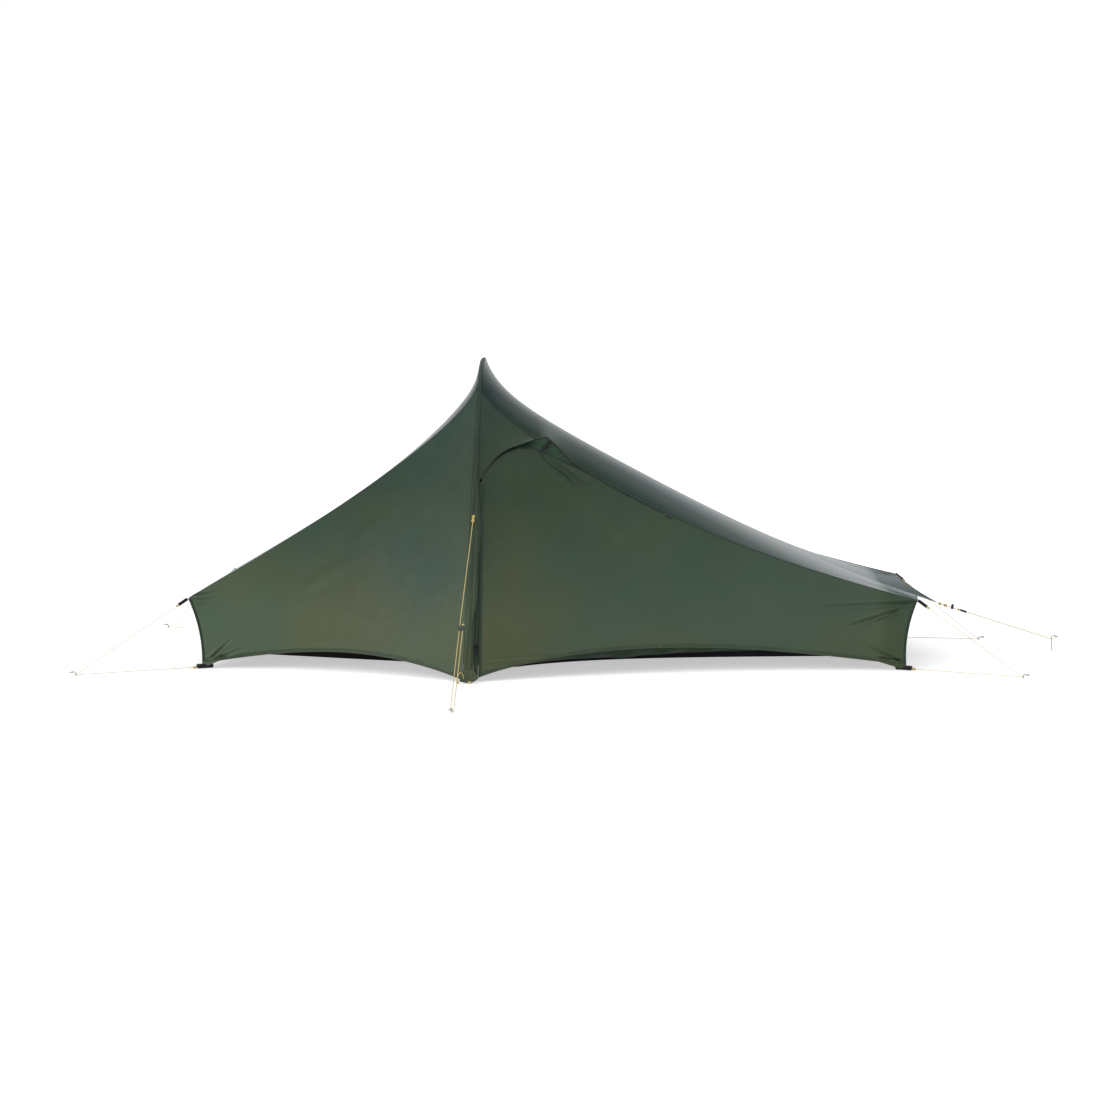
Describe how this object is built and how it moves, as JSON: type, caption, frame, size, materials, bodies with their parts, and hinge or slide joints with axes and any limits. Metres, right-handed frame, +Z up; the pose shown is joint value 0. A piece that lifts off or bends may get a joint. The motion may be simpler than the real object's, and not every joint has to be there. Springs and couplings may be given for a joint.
{
  "type": "hoop tent",
  "caption": "Low hoop tent: a flysheet with bowed hems on an arched pole and short corner struts, with a side door, a hooded vent, guy lines and a floored inner tent.",
  "frame": {"origin": "middle of the inner tent's floor, on the ground", "axes": "+X along the tent to the foot end, -Y out through the door side, +Z up"},
  "size_m": [3.3995, 2.7038, 1.0493],
  "materials": {
    "roof_cloth": "satin coated nylon",
    "wall_cloth": "satin coated nylon",
    "sleeve_cloth": "satin coated nylon",
    "net": "fine net",
    "webbing": "woven webbing",
    "zip_tape": "coil zip on woven tape",
    "zip_metal": "cast and tumbled",
    "black_plastic": "moulded",
    "pole_alloy": "anodised",
    "elastic": "braided elastic",
    "guy_cord": "braided cord",
    "peg_alloy": "bent wire",
    "inner_cloth": "breathable cloth",
    "floor_cloth": "coated groundsheet cloth"
  },
  "bodies": {
    "shelter": {"corner_tab_back_foot": "webbing", "corner_tab_back_head": "webbing", "corner_tab_front_foot": "webbing", "corner_tab_front_head": "webbing", "door_zip": "zip_tape", "end_panel_foot": "wall_cloth", "end_panel_head": "wall_cloth", "foot_pocket_back_foot": "webbing", "foot_pocket_back_head": "webbing", "foot_pocket_front_foot": "webbing", "foot_pocket_front_head": "webbing", "foot_pocket_hoop_back": "webbing", "foot_pocket_hoop_front": "webbing", "guy_back_foot": "guy_cord", "guy_back_head": "guy_cord", "guy_foot_end": "guy_cord", "guy_front_foot": "guy_cord", "guy_front_head": "guy_cord", "guy_hoop_back": "guy_cord", "guy_hoop_front": "guy_cord", "inner_canopy": "inner_cloth", "inner_floor": "floor_cloth", "inner_hanger": "webbing", "inner_wall_front": "inner_cloth", "peg_back_foot": "peg_alloy", "peg_back_head": "peg_alloy", "peg_foot_end": "peg_alloy", "peg_front_foot": "peg_alloy", "peg_front_head": "peg_alloy", "peg_hoop_back": "peg_alloy", "peg_hoop_front": "peg_alloy", "pole_section_1": "pole_alloy", "pole_section_2": "pole_alloy", "pole_section_3": "pole_alloy", "pole_section_4": "pole_alloy", "pole_section_5": "pole_alloy", "pole_section_6": "pole_alloy", "pole_shock_cord": "elastic", "pole_sleeve": "sleeve_cloth", "roof_foot": "roof_cloth", "roof_head": "roof_cloth", "strut_back_foot": "pole_alloy", "strut_back_head": "pole_alloy", "strut_front_foot": "pole_alloy", "strut_front_head": "pole_alloy", "vent_hood": "wall_cloth", "vent_mesh": "net", "wall_back_foot": "wall_cloth", "wall_back_head": "wall_cloth", "wall_front_foot": "wall_cloth", "wall_front_head": "wall_cloth"},
    "fly_door": {"fly_door": "wall_cloth"},
    "zip_slider": {"zip_slider": "zip_metal"},
    "zip_puller": {"zip_puller": "zip_metal"},
    "door_toggle": {"door_toggle": "black_plastic"},
    "vent_prop": {"vent_prop": "webbing"},
    "inner_door": {"inner_door": "inner_cloth"},
    "adjuster_hoop_front": {"adjuster_hoop_front": "black_plastic"},
    "adjuster_hoop_back": {"adjuster_hoop_back": "black_plastic"},
    "adjuster_foot_end": {"adjuster_foot_end": "black_plastic"}
  },
  "joints": [
    {"name": "fly_door_fold", "type": "hinge", "parent": "shelter", "child": "fly_door", "pos_m": [0.36437, -0.40648, 0.31245], "axis": [0.017, 0.4323, 0.9016], "range_deg": [0, 110]},
    {"name": "zip_slider_travel", "type": "hinge", "parent": "shelter", "child": "zip_slider", "pos_m": [-0.268, 4.6775, -2.47172], "axis": [-1, 0, 0], "range_deg": [-0.78, 5.4]},
    {"name": "zip_puller_swing", "type": "hinge", "parent": "zip_slider", "child": "zip_puller", "pos_m": [-0.24404, -0.68836, 0.11239], "axis": [-1, 0, 0], "range_deg": [0, 150]},
    {"name": "toggle_turn", "type": "hinge", "parent": "shelter", "child": "door_toggle", "pos_m": [0.39141, -0.29721, 0.5126], "axis": [0.1143, -0.8491, 0.5157], "range_deg": [-90, 90]},
    {"name": "vent_prop_swing", "type": "hinge", "parent": "shelter", "child": "vent_prop", "pos_m": [-0.01825, -0.23239, 0.76827], "axis": [-0.771, 0.1098, 0.6273], "range_deg": [0, 80]},
    {"name": "inner_door_drop", "type": "hinge", "parent": "shelter", "child": "inner_door", "pos_m": [0.02, -0.40131, 0.1294], "axis": [-0.9995, -0.0303, 0], "range_deg": [0, 78]},
    {"name": "adjuster_hoop_front_slide", "type": "slide", "parent": "shelter", "child": "adjuster_hoop_front", "axis": [0, -0.8552, -0.5183], "range_m": [0, 0.12]},
    {"name": "adjuster_hoop_back_slide", "type": "slide", "parent": "shelter", "child": "adjuster_hoop_back", "axis": [0, 0.8552, -0.5183], "range_m": [0, 0.12]},
    {"name": "adjuster_foot_end_slide", "type": "slide", "parent": "shelter", "child": "adjuster_foot_end", "axis": [0.9341, 0.1805, -0.308], "range_m": [0, 0.12]}
  ]
}
